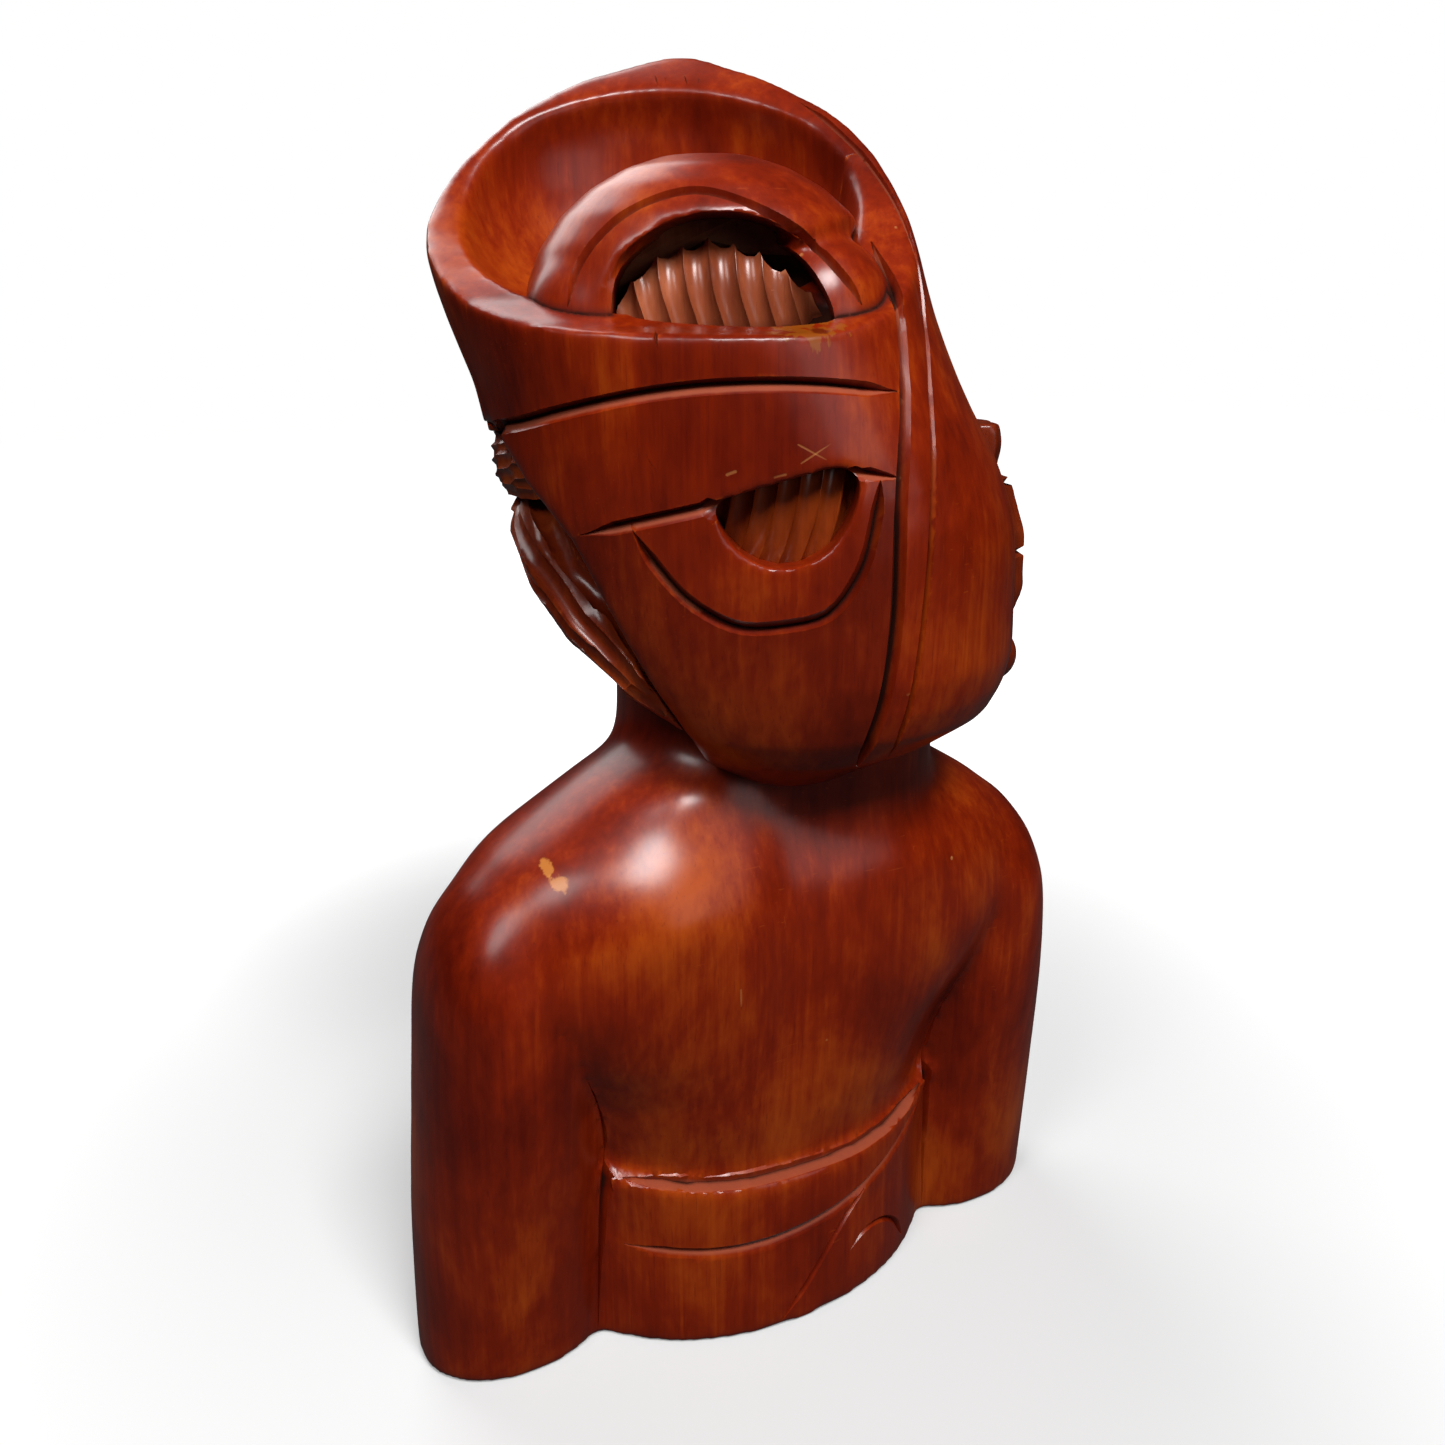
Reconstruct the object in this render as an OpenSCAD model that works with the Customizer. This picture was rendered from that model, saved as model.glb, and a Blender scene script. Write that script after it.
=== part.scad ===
// Carved wooden bust of a woman in a tied headwrap, head turned to one side.
// The figure faces -Y and stands on z = 0. Its left side is +X. Millimetres.

/* [Bust] */
// Width across the two arms
body_w = 210; // [200:1:220]
// Height of the top of the shoulders beside the neck
shoulder_z = 170; // [166:1:174]
// Width of one arm
arm_w = 56; // [52:1:58]

/* [Head] */
// Turn of the head to the figure's right, in degrees
head_turn = 26; // [20:1:30]
// Width of the neck
neck_w = 92; // [84:1:96]
// Height of the crown's rim above the back lip of the headwrap
crown_rise = 69; // [64:1:72]

/* [Headwrap] */
// Width of the saw and V-tool lines that part the pieces
line_w = 1.2; // [0.8:0.2:2.4]

/* [Dress] */
// Height of the dress's top edge at the back
dress_z = 50; // [46:1:54]
// Width of the dress's turned-over top band
dress_band_w = 19; // [15:1:23]

/* [Joinery] */
// Radius of the glued dowels
dowel_r = 5; // [4:0.5:6]
// Radius of the neck's round tenons
tenon_r = 20; // [16:1:22]

/* [Hidden] */

wood = "#8a3517";
hair_wood = "#6b2a17";

sides = 44;          // corners of a lofted ring
far = 300;           // longer than anything it cuts
face_sides = 64;     // corners of a ring of the face
chest_p = 2;         // squareness of the chest
face_p = 1.9;        // squareness of the face
fit_gap = 0.15;      // glue gap round a dowel or tenon

half_w = body_w / 2;
arm_x = half_w - arm_w / 2;
arm_joint_x = arm_x - 0.36 * arm_w;
neck_at = [-8, 22];  // middle of the neck and head, seen from above
lip_z = 285;         // back lip of the headwrap
chin_z = 172;        // underside of the head
tenon_l = 26;        // length of each neck tenon
neck_top_z = 192;    // neck's shoulder inside the head
neck_low_z = 146;    // neck's shoulder inside the trunk
rim_tilt = atan(0.66);    // slope of the hollow inside the crown's rim
crown_low_z = 300;        // lower edge of the crown's rim piece
dish_at = [28, 12];       // middle of the hollow, across and back
dish_up = 33;             // height of its middle over the back lip
dish_r = [53, 50, 46, 36];  // its reach to the left, right and along the slope, and its depth
mound_at = [17, 18, lip_z - 1];  // middle of the folded mound inside the hollow
mound_r = [46, 35, 40];   // half width, half length and height of the mound
wrap_split_y = 6;         // where the back of the wrap meets its front
front_edge_z = 256;       // lower edge of the wrap over the forehead
roll_top_z = 240;         // where the temple hair meets the side rolls
crown_gap_y = 14;         // how deep the crown's gap is cut
neck_d = 66;              // depth of the neck
dress_rise = 22;          // slope of the dress's top edge, in degrees
dress_proud = 2;          // how far the dress stands out from the back
dress_t = 4;              // how deep the dress is let into the trunk
dress_top = (dress_z + 60 * tan(dress_rise)) * cos(dress_rise);
arm_joint = [arm_joint_x + 2, 32, 0];
arm_joint_turn = 18;      // turn of the arms' glued faces, in degrees
dowel_z = [56, 116];      // heights of the arm dowels
dowel_l = 36;
roll_sides = 36;          // corners round a hair roll
ridges = 9;               // ridges round a hair roll
ridge_depth = 0.14;       // depth of the ridges, as a share of the radius

// Trunk stations: height, half width, back, front, centre of the section, squareness
trunk = [
    [0, 66, 60, -48, 6, 2.1],
    [45, 65, 60, -53, 6, 2.2],
    [80, 69, 61, -58, 10, 2.4],
    [104, half_w - 22, 63, -53, 18, 2.8],
    [122, half_w - 16, 64, -42, 22, 2.8],
    [137, half_w - 18, 62, -30, 23, 2.6],
    [shoulder_z - 22, half_w - 26, 58, -19, 23, 2.5],
    [shoulder_z - 14, half_w - 38, 54, -12, 22, 2.3],
    [shoulder_z - 7, half_w - 51, 51, -8, 21, 2.1],
    [shoulder_z, half_w - 62, 48, -6, 21, 2.0],
    [shoulder_z + 5, half_w - 74, 42, 0, 21, 2.0]
];
// Arm stations: height, half width, back, front, centre of the section, squareness
arm = [
    [0, arm_w / 2, 45, 3, 24, 2.1],
    [45, arm_w / 2 - 1, 49, 0, 25, 2.2],
    [85, arm_w / 2 - 4, 54, -2, 26, 2.3],
    [110, arm_w / 2 - 6, 55, -3, 26, 2.3],
    [124, arm_w / 2 - 8, 54, -1, 26, 2.2],
    [136, arm_w / 2 - 13, 48, 6, 26, 2.1],
    [144, arm_w / 2 - 20, 40, 14, 26, 2.0]
];
// Headwrap stations: height, left, right, back, front, squareness, centre across
wrap = [
    [chin_z - 4, 16, 26, 40, 6, 2.0, -4],
    [chin_z + 2, 32, 44, 47, 28, 2.1, -4],
    [182, 45, 60, 53, 44, 2.2, -4],
    [196, 57, 66, 57, 54, 2.3, -4],
    [212, 66, 66, 59, 60, 2.3, 0],
    [232, 73, 65, 61, 64, 2.3, 2],
    [250, 76, 59, 62, 67, 2.3, 6],
    [266, 77, 50, 62, 68, 2.3, 12],
    [lip_z, 84, 42, 62, 66, 2.2, 18],
    [lip_z + 20, 89, 36, 62, 62, 2.2, 24],
    [lip_z + 33, 86, 31, 62, 58, 2.2, 26],
    [lip_z + 0.65 * crown_rise, 78, 25, 60, 56, 2.2, 26],
    [lip_z + 0.8 * crown_rise, 69, 17, 58, 52, 2.1, 26],
    [lip_z + 0.92 * crown_rise, 58, 6, 54, 49, 2.1, 25],
    [lip_z + 0.98 * crown_rise, 50, -2, 50, 46, 2.1, 24],
    [lip_z + 1.03 * crown_rise, 40, -10, 46, 42, 2.0, 23]
];
// Skull and face stations: height, left, right, back, front, squareness
skull = [
    [chin_z - 2, 22, 22, 16, 28, 2.0],
    [chin_z + 4, 31, 32, 30, 48, 2.0],
    [184, 39, 40, 40, 59, 2.1],
    [198, 47, 47, 45, 63, 2.2],
    [214, 52, 52, 48, 65, 2.3],
    [232, 56, 55, 50, 64, 2.3],
    [250, 58, 53, 50, 62, 2.3],
    [264, 57, 46, 49, 58, 2.2],
    [276, 50, 38, 44, 50, 2.1]
];

// Lines of the headwrap seen square from the back of the head: [across, height]
upper_line = [[104, 252], [80, 258], [64, 261], [50, 265], [32, 269], [14, 271], [-6, 271], [-28, 269]];
middle_line = [[78, 236], [52, 235], [34, 240], [14, 245], [0, 249], [-11, 252], [-28, 250]];
panel_edge = [[88, 286], [76, 268], [61, 247], [50, 234], [41, 216], [32, 199], [22, 183], [12, 160]];
strap_line = [
    [2, 345], [-4, 333], [-14, 321], [-23, 303], [-27, 288], [-28, 268],
    [-27, 244], [-27, 216], [-25, 196], [-20, 176], [-18, 160]
];
strap_w = 7;         // width of the strip between the two strap lines
crescent_at = [7, 250];   // middle of the crescent fold's top edge
crescent_r = [28, 34];    // half width and drop of the crescent fold
eye_at = [0, 251];        // middle of the lower gap in the wrap
eye_r = [17, 21];         // half width and drop of that gap
arch_at = [14, 284];      // middle of the arch fold's foot
crown_gap_r = [28, 24];   // half width and rise of the gap that shows the crown's hair
drape_front = -14;        // how far forward the side drape reaches

// Paths of the rolled hair: [across, back, height]
roll_outer = [
    [56, -30, 241], [61, -14, 238], [61, 4, 233], [55, 22, 224], [45, 35, 212], [33, 42, 200], [21, 41, 188]
];
roll_inner = [[53, 2, 239], [52, 16, 233], [48, 28, 223], [41, 36, 211], [31, 39, 199], [20, 40, 187]];
roll_right = [
    [-56, -26, 246], [-64, -27, 237], [-67, -27, 222], [-67, -26, 207], [-64, -25, 194], [-57, -23, 183]
];
// Fluted hair: middle and half sizes
temple_left = [[60, -8, 250], [18, 34, 22]];
temple_right = [[-50, -24, 250], [18, 26, 22]];
nape_lock = [[0, 44, 246], [21, 13, 27]];
crown_lock = [[13, 20, 287], [31, 19, 21]];

// Height of the crown's rim over the back lip on either side: [back, share of the crown's rise]
rim_left = [
    [90, -0.04], [60, -0.02], [48, 0.01], [35, 0.08], [22, 0.2], [10, 0.32],
    [0, 0.44], [-10, 0.62], [-20, 0.79], [-30, 0.92], [-44, 1.07], [-90, 1.5]
];
rim_right = [
    [90, -0.2], [60, -0.07], [48, 0.01], [35, 0.14], [22, 0.29], [10, 0.45],
    [0, 0.59], [-10, 0.71], [-20, 0.82], [-30, 0.94], [-44, 1.08], [-90, 1.5]
];

function spow(v, e) = sign(v) * pow(abs(v), e);
function catmull(a, b, c, d, t) =
    b + 0.5 * t * (c - a + t * (2 * a - 5 * b + 4 * c - d + t * (3 * (b - c) + d - a)));
function segment(table, z, i = 0) =
    i >= len(table) - 2 || z < table[i + 1][0] ? i : segment(table, z, i + 1);
// A table's columns at height z, on a smooth curve through its stations
function at_height(table, z) =
    let (i = segment(table, z), n = len(table) - 1,
         a = table[max(i - 1, 0)], b = table[i], c = table[i + 1], d = table[min(i + 2, n)],
         t = (z - b[0]) / (c[0] - b[0]))
    [for (k = [0:len(b) - 1]) catmull(a[k], b[k], c[k], d[k], t)];
// One ring of a section with its own reach to the left, right, back and front.
// p is its squareness, and front_p that of its front half.
function ring(z, left, right, back, front, p, centre = [0, 0], n = sides, front_p = 0) =
    [for (k = [0:n - 1])
        let (t = 360 * k / n, q = t > 180 && front_p > 0 ? front_p : p,
             c = spow(cos(t), 2 / q), s = spow(sin(t), 2 / q))
        [centre[0] + c * (c > 0 ? left : right), centre[1] + s * (s > 0 ? back : front), z]];
function trunk_ring(z, grow = 0) =
    let (s = at_height(trunk, z))
    ring(z, s[1] + grow, s[1] + grow, s[2] - s[4] + grow, s[4] - s[3] + grow, s[5],
        [0, s[4]], sides, chest_p);
function arm_ring(z) =
    let (s = at_height(arm, z))
    ring(z, s[1], s[1], s[2] - s[4], s[4] - s[3], s[5], [arm_x, s[4]]);
function wrap_ring(z) =
    let (s = at_height(wrap, z))
    ring(z, s[1] - s[6], s[2] + s[6], s[3], s[4], s[5], [s[6], 0]);
function skull_ring(z, n) =
    let (s = at_height(skull, z))
    ring(z, s[1], s[2], s[3], s[4], s[5], [0, 0], n, face_p);
function heights(table, steps) =
    let (low = table[0][0], high = table[len(table) - 1][0])
    [for (k = [0:steps]) low + (high - low) * k / steps];

// A closed solid through a stack of rings that all have the same number of corners
module loft(rings) {
    n = len(rings[0]);
    top = (len(rings) - 1) * n;
    side_faces = [for (j = [0:len(rings) - 2], k = [0:n - 1])
        let (a = j * n + k, b = j * n + (k + 1) % n)
        each [[a, a + n, b], [b, a + n, b + n]]];
    bottom_faces = [for (k = [1:n - 2]) [0, k, k + 1]];
    top_faces = [for (k = [1:n - 2]) [top, top + k + 1, top + k]];
    polyhedron([for (r = rings) each r], concat(side_faces, bottom_faces, top_faces));
}

// An ellipsoid, as rings of its own
module egg(centre, r, steps = 9, n = 20) {
    translate(centre)
        loft([for (j = [1:steps - 1])
            let (t = 180 * j / steps, x = r[0] * sin(t), y = r[1] * sin(t))
            ring(-r[2] * cos(t), x, x, y, y, 2, [0, 0], n)]);
}

// Places a shape that is drawn round the head's own axis, with the head's back along +Y
module on_head() {
    translate([neck_at[0], neck_at[1], 0]) rotate([0, 0, -head_turn]) children();
}

// The part of an outline on one side of a line across the head
function below(line, low = 100) = concat(line, [[line[len(line) - 1][0], low], [line[0][0], low]]);
function above(line, high = 400) = concat(line, [[line[len(line) - 1][0], high], [line[0][0], high]]);
function moved(line, by) = [for (p = line) p + by];
function half_ellipse(centre, r, from, to, steps = 16) =
    [for (k = [0:steps])
        let (t = from + (to - from) * k / steps)
        centre + [r[0] * cos(t), r[1] * sin(t)]];

// Whole forms, before they are parted
module trunk_form(grow = 0) {
    loft([for (z = heights(trunk, 20)) trunk_ring(z, grow)]);
}
module arm_form() {
    loft([for (z = heights(arm, 12)) arm_ring(z)]);
}
module body_form() {
    trunk_form();
    arm_form();
    mirror([1, 0, 0]) arm_form();
}
module wrap_form() {
    loft([for (z = heights(wrap, 24)) wrap_ring(z)]);
}
module skull_form() {
    loft([for (z = heights(skull, 18)) skull_ring(z, sides)]);
}
function bump(p, at, r, h) =
    h * (exp(-pow((p[0] - at[0]) / r[0], 2) - pow((p[2] - at[1]) / r[1], 2))
        + (at[0] == 0 ? 0 : exp(-pow((p[0] + at[0]) / r[0], 2) - pow((p[2] - at[1]) / r[1], 2))));
// How far the carved face stands out from the plain skull at a point, both sides alike
function relief(p) =
    bump(p, [0, 227], [5, 15], 6) + bump(p, [0, 213], [7, 6], 8) + bump(p, [8, 211], [4, 4], 4)
    + bump(p, [20, 232], [12, 8], -5) + bump(p, [20, 231], [9, 5], 4) + bump(p, [21, 244], [15, 4], 2)
    + bump(p, [0, 199], [12, 3], 4) + bump(p, [0, 192], [10, 3], 4) + bump(p, [0, 180], [11, 6], 4)
    + bump(p, [28, 211], [14, 13], 2);
function face_ring(z) =
    [for (p = skull_ring(z, face_sides))
        p[1] < 0 ? p - [0, relief(p) * min(1, -p[1] / 30), 0] : p];
// A round bar along a path, with a radius for each point of it
module roll(path, radii) {
    n = len(path);
    loft([for (i = [0:n - 1])
        let (dir = path[min(i + 1, n - 1)] - path[max(i - 1, 0)],
             along = dir / norm(dir),
             side = cross(along, [0, 1, 0.2]) / norm(cross(along, [0, 1, 0.2])),
             up = cross(along, side))
        [for (k = [0:roll_sides - 1])
            let (t = 360 * k / roll_sides,
                 r = radii[i] * (1 - ridge_depth * abs(sin(ridges * t / 2))))
            path[i] + side * r * cos(t) + up * r * sin(t)]]);
}
// An ellipsoid with upright gouge flutes round it
module fluted_egg(centre, r, flutes, depth, steps = 10) {
    n = flutes * 6;
    translate(centre)
        loft([for (j = [1:steps - 1])
            let (tilt = 180 * j / steps)
            [for (k = [0:n - 1])
                let (t = 360 * k / n, f = sin(tilt) * (1 - depth * abs(cos(flutes * t / 2))))
                [r[0] * f * cos(t), r[1] * f * sin(t), -r[2] * cos(tilt)]]]);
}

// Cutting shapes round the head
function rim_section(x, rim) =
    concat([[x, rim[0][0], lip_z + far / 2]], [for (p = rim) [x, p[0], lip_z + p[1] * crown_rise]],
        [[x, rim[len(rim) - 1][0], lip_z + far / 2]]);
module rim_cut() {
    loft([rim_section(far / 3, rim_left), rim_section(-far / 3, rim_right)]);
}
module crown_zone() {
    intersection() {
        over_level(crown_low_z);
        before(wrap_split_y);
    }
}
module crown_dish() {
    steps = 17;
    translate([dish_at[0], dish_at[1], lip_z + dish_up]) rotate([-rim_tilt, 0, 0])
        loft([for (j = [1:steps - 1])
            let (t = 180 * j / steps, f = sin(t))
            ring(-dish_r[3] * cos(t), dish_r[0] * f, dish_r[1] * f, dish_r[2] * f, dish_r[2] * f, 2)]);
}
module over_level(z) {
    translate([-far / 2, -far / 2, z]) cube(far);
}
module under_level(z) {
    translate([-far / 2, -far / 2, z - far]) cube(far);
}
module behind(y) {
    translate([-far / 2, y, 0]) cube([far, far, 2 * far]);
}
module before(y) {
    translate([-far / 2, y - far, 0]) cube([far, far, 2 * far]);
}
// A prism from the back of the head, its outline drawn in by half a parting line
module panel(points, from_y = 0, grow = -line_w / 2) {
    translate([0, far, 0]) rotate([90, 0, 0]) linear_extrude(far - from_y)
        offset(delta = grow) polygon(points);
}
module wrap_shell() {
    difference() {
        wrap_form();
        skull_form();
        rim_cut();
        crown_dish();
    }
}
module crown_mound() {
    egg(mound_at, mound_r, 14, 36);
}

// Outlines seen square from the back of the head
function side_of(line, x) = concat(line, [[x, line[len(line) - 1][1]], [x, line[0][1]]]);
function open_top(line) = concat(line, [for (k = [len(line) - 1, 0]) line[k] + [0, 20]]);
left_of_strap = side_of(strap_line, far);
right_of_strap = side_of(moved(strap_line, [-strap_w, 0]), -far);
strap_strip = concat(strap_line, [for (k = [len(strap_line) - 1:-1:0]) strap_line[k] - [strap_w, 0]]);
right_of_edge = side_of(panel_edge, -far);
between_bands = concat(upper_line, [for (k = [len(middle_line) - 1:-1:0]) middle_line[k]]);
crescent = open_top(half_ellipse(crescent_at, crescent_r, -180, 0));
eye = open_top(half_ellipse(eye_at, eye_r, -180, 0));
crown_gap = half_ellipse(arch_at, crown_gap_r, 0, 180);

// Trunk, arms and dress
module dress_slab(low, high) {
    rotate([-dress_rise, 0, 0]) translate([-far / 2, -far / 2, low]) cube([far, far, high - low]);
}
module dress_form(low, high) {
    intersection() {
        difference() {
            trunk_form(dress_proud);
            trunk_form(-dress_t);
        }
        dress_slab(low, high);
    }
}
// Everything beyond the glued face of the left arm
module arm_zone() {
    translate(arm_joint) rotate([0, 0, arm_joint_turn])
        translate([0, -far / 2, -far / 2]) cube([far, far, 2 * far]);
}
module both_sides() {
    children();
    mirror([1, 0, 0]) children();
}
module arm_dowels(gap = 0) {
    for (z = dowel_z)
        translate([arm_joint[0], arm_joint[1], z]) rotate([0, 0, arm_joint_turn])
            translate([-dowel_l / 2 - gap, 0, 0]) rotate([0, 90, 0])
                cylinder(h = dowel_l + 2 * gap, r = dowel_r + gap, $fn = 48);
}
module neck_tenon(gap = 0) {
    translate([neck_at[0], neck_at[1], neck_low_z - tenon_l - gap])
        cylinder(h = neck_top_z - neck_low_z + 2 * (tenon_l + gap), r = tenon_r + gap, $fn = 64);
}
module neck_form() {
    on_head()
        loft([for (k = [0:6])
            let (z = neck_low_z + (neck_top_z - neck_low_z) * k / 6, half = neck_w / 2)
            ring(z, half - 2, half + 1, neck_d / 2, neck_d / 2, 2.1)]);
}
// Hands a carved form on as one solid
module carved() {
    resize([0, 0, 0]) union() children();
}

module torso() {
    color(wood) difference() {
        carved() difference() {
            trunk_form();
            both_sides() arm_zone();
            dress_form(-far, dress_top);
            neck_form();
        }
        both_sides() arm_dowels(fit_gap);
        neck_tenon(fit_gap);
    }
}
module arm_left() {
    color(wood) difference() {
        carved() intersection() {
            body_form();
            arm_zone();
        }
        arm_dowels(fit_gap);
    }
}
module arm_right() {
    color(wood) mirror([1, 0, 0]) difference() {
        carved() intersection() {
            body_form();
            arm_zone();
        }
        arm_dowels(fit_gap);
    }
}
module dress_band() {
    color(wood) carved() difference() {
        dress_form(dress_top - dress_band_w + line_w, dress_top);
        both_sides() arm_zone();
    }
}
module dress_skirt() {
    color(wood) carved() difference() {
        dress_form(-far, dress_top - dress_band_w);
        both_sides() arm_zone();
    }
}
module shoulder_dowels() {
    color(wood) both_sides() arm_dowels();
}
module neck() {
    color(wood) union() {
        carved() neck_form();
        neck_tenon();
    }
}

// Head and hair
module head() {
    color(wood) difference() {
        carved() difference() {
            on_head() loft([for (z = heights(skull, 32)) face_ring(z)]);
            neck_form();
        }
        neck_tenon(fit_gap);
    }
}
module roll_left_form() {
    roll(roll_outer, [6, 9, 11, 11, 10, 8, 5]);
    roll(roll_inner, [5, 8, 10, 10, 9, 5]);
}
module roll_right_form() {
    roll(roll_right, [5, 9, 11, 11, 9, 5]);
}
module side_roll_left() {
    color(hair_wood) carved() on_head() difference() {
        roll_left_form();
        skull_form();
        panel(right_of_edge, wrap_split_y, 0);
        over_level(roll_top_z);
    }
}
module side_roll_right() {
    color(hair_wood) carved() on_head() difference() {
        roll_right_form();
        skull_form();
        behind(drape_front);
        over_level(roll_top_z);
    }
}
module temple_hair_left() {
    color(hair_wood) carved() on_head() difference() {
        fluted_egg(temple_left[0], temple_left[1], 15, 0.08, 8);
        skull_form();
        panel(right_of_edge, wrap_split_y, 0);
        over_level(front_edge_z);
        under_level(roll_top_z);
    }
}
module temple_hair_right() {
    color(hair_wood) carved() on_head() difference() {
        fluted_egg(temple_right[0], temple_right[1], 14, 0.08, 8);
        skull_form();
        behind(drape_front);
        over_level(front_edge_z);
        under_level(roll_top_z);
    }
}
module nape_hair() {
    color(hair_wood) carved() on_head() difference() {
        intersection() {
            fluted_egg(nape_lock[0], nape_lock[1], 14, 0.1);
            panel(eye);
            panel(below(middle_line));
        }
        skull_form();
    }
}
module crown_hair() {
    color(hair_wood) carved() on_head() intersection() {
        fluted_egg(crown_lock[0], crown_lock[1], 19, 0.08, 9);
        panel(crown_gap, crown_gap_y);
        crown_dish();
    }
}

// Headwrap
module wrap_back_panel() {
    color(wood) carved() on_head() difference() {
        intersection() {
            wrap_shell();
            panel(below(middle_line), wrap_split_y);
            panel(left_of_strap);
            panel(right_of_edge);
        }
        panel(crescent, 0, line_w / 2);
        neck_cut();
    }
}
module wrap_crescent() {
    color(wood) carved() on_head() difference() {
        intersection() {
            wrap_shell();
            panel(crescent);
            panel(below(middle_line), wrap_split_y);
            panel(left_of_strap);
        }
        panel(eye, 0, 0);
    }
}
module wrap_band_middle() {
    color(wood) carved() on_head() intersection() {
        wrap_shell();
        panel(between_bands, wrap_split_y);
        panel(left_of_strap);
        panel(right_of_edge);
    }
}
module wrap_band_upper() {
    color(wood) carved() on_head() difference() {
        intersection() {
            wrap_shell();
            panel(above(upper_line), wrap_split_y);
            panel(left_of_strap);
        }
        crown_zone();
    }
}
module wrap_front() {
    color(wood) carved() on_head() difference() {
        intersection() {
            wrap_shell();
            over_level(front_edge_z);
            before(wrap_split_y);
        }
        crown_zone();
        panel(right_of_strap, drape_front, line_w / 2 + strap_w);
    }
}
module wrap_crown() {
    color(wood) carved() on_head() difference() {
        intersection() {
            wrap_shell();
            crown_zone();
        }
        panel(right_of_strap, drape_front, line_w / 2 + strap_w);
    }
}
module wrap_arch() {
    color(wood) carved() on_head() difference() {
        intersection() {
            crown_mound();
            crown_dish();
            panel(left_of_strap, -far);
        }
        panel(crown_gap, crown_gap_y, 0);
    }
}
module wrap_strap() {
    color(wood) carved() on_head() difference() {
        intersection() {
            wrap_shell();
            panel(strap_strip, drape_front);
        }
        neck_cut();
    }
}
module wrap_drape() {
    color(wood) carved() on_head() difference() {
        intersection() {
            wrap_shell();
            panel(right_of_strap, drape_front);
        }
        neck_cut();
    }
}
// Room for the neck, in the head's own frame
module neck_cut() {
    rotate([0, 0, head_turn]) translate([-neck_at[0], -neck_at[1], 0]) neck_form();
}

torso();
arm_left();
arm_right();
dress_band();
dress_skirt();
shoulder_dowels();
neck();
head();
side_roll_left();
side_roll_right();
temple_hair_left();
temple_hair_right();
wrap_back_panel();
wrap_crescent();
nape_hair();
wrap_band_middle();
wrap_band_upper();
wrap_front();
wrap_crown();
wrap_arch();
crown_hair();
wrap_strap();
wrap_drape();
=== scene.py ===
import math

import bmesh
import bpy
import numpy as np
from mathutils import Matrix, Vector
from mathutils.bvhtree import BVHTree


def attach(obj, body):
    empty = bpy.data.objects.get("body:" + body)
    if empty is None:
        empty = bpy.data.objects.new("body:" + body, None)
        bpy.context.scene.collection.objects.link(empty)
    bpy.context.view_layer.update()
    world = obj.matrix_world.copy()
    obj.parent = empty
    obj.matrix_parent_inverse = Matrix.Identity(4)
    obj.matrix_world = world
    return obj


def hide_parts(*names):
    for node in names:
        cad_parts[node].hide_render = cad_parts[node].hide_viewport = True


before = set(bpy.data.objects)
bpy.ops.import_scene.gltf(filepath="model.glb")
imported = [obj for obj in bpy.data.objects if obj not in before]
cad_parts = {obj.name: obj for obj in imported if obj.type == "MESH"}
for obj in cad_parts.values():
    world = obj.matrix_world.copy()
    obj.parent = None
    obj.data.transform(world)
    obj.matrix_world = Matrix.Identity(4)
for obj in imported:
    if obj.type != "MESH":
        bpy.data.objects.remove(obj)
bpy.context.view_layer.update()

# One millimetre, and the distance at which loose corners are merged, in metres
MM = 0.001
MERGE = 0.00002

# The head's own frame: it turns on the neck, and its back looks along its own +Y
NECK_AT = Vector((-8, 22, 0))
HEAD_TURN = math.radians(-26)
HEAD = Matrix.Translation(NECK_AT) @ Matrix.Rotation(HEAD_TURN, 4, "Z")
BODY = Matrix.Identity(4)

# Lines of the headwrap seen square from the back of the head: across and height, in millimetres
UPPER_LINE = [(86, 256), (79, 258), (64, 261), (50, 265), (32, 269), (14, 271), (-6, 271), (-26, 269)]
MIDDLE_LINE = [(56, 234), (52, 235), (34, 240), (14, 245), (0, 249), (-11, 252), (-26, 250)]
STRAP_LEFT = [(-4, 334), (-14, 320), (-23, 303), (-27, 288), (-28, 268),
              (-27, 244), (-27, 216), (-25, 196), (-20, 176)]
STRAP_RIGHT = [(-8, 341), (-16, 334), (-25, 323), (-31, 311), (-34, 297), (-35, 284), (-35, 268),
               (-35, 244), (-34, 216), (-32, 196), (-28, 178)]
CRESCENT = [(35, 239), (30, 231), (22, 222), (11, 216), (0, 216),
            (-11, 219), (-18, 229), (-21, 241), (-22, 250)]
ARCH_GROOVE = [(49, 288), (46, 298), (36, 308), (22, 313), (10, 311), (-4, 304), (-14, 294), (-18, 288)]
CROWN_GAP = [(39, 280), (39, 287), (37, 296), (28, 304), (16, 308),
             (5, 305), (-5, 298), (-11, 288), (-12, 280)]
LIP_CRACK = [(29, 285), (28.5, 282), (28, 279)]
BAND_CRACK = [(31, 256), (30, 254), (28.5, 252)]
CREST_CRACKS = [[(31, 350), (30, 346)], [(28, 349), (28, 347)],
                [(23, 350), (22, 346)], [(19, 349), (19, 347)]]

# The thin lip of the crown has a channel behind it, in front of the hair: points in the head's frame
CHANNEL = [(40, 36, 294), (30, 42, 290), (18, 45, 289), (4, 46, 288), (-8, 44, 289), (-17, 40, 291)]

# The crown's hair ends in a fan under the arch, with a scallop over every flute: how far aside, how deep
FAN = [(-13, 280), (-11, 286), (-5, 293.5), (5, 300), (16, 303.5),
       (28, 300), (33, 296), (38, 290), (41, 280)]
SCALLOP = ((-3, 0), (-2, 1.3), (0, 1.9), (2, 1.3))
CROWN_FLUTES = range(-17, 56, 6)
NAPE_FLUTES = range(-25, 20, 5)

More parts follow.
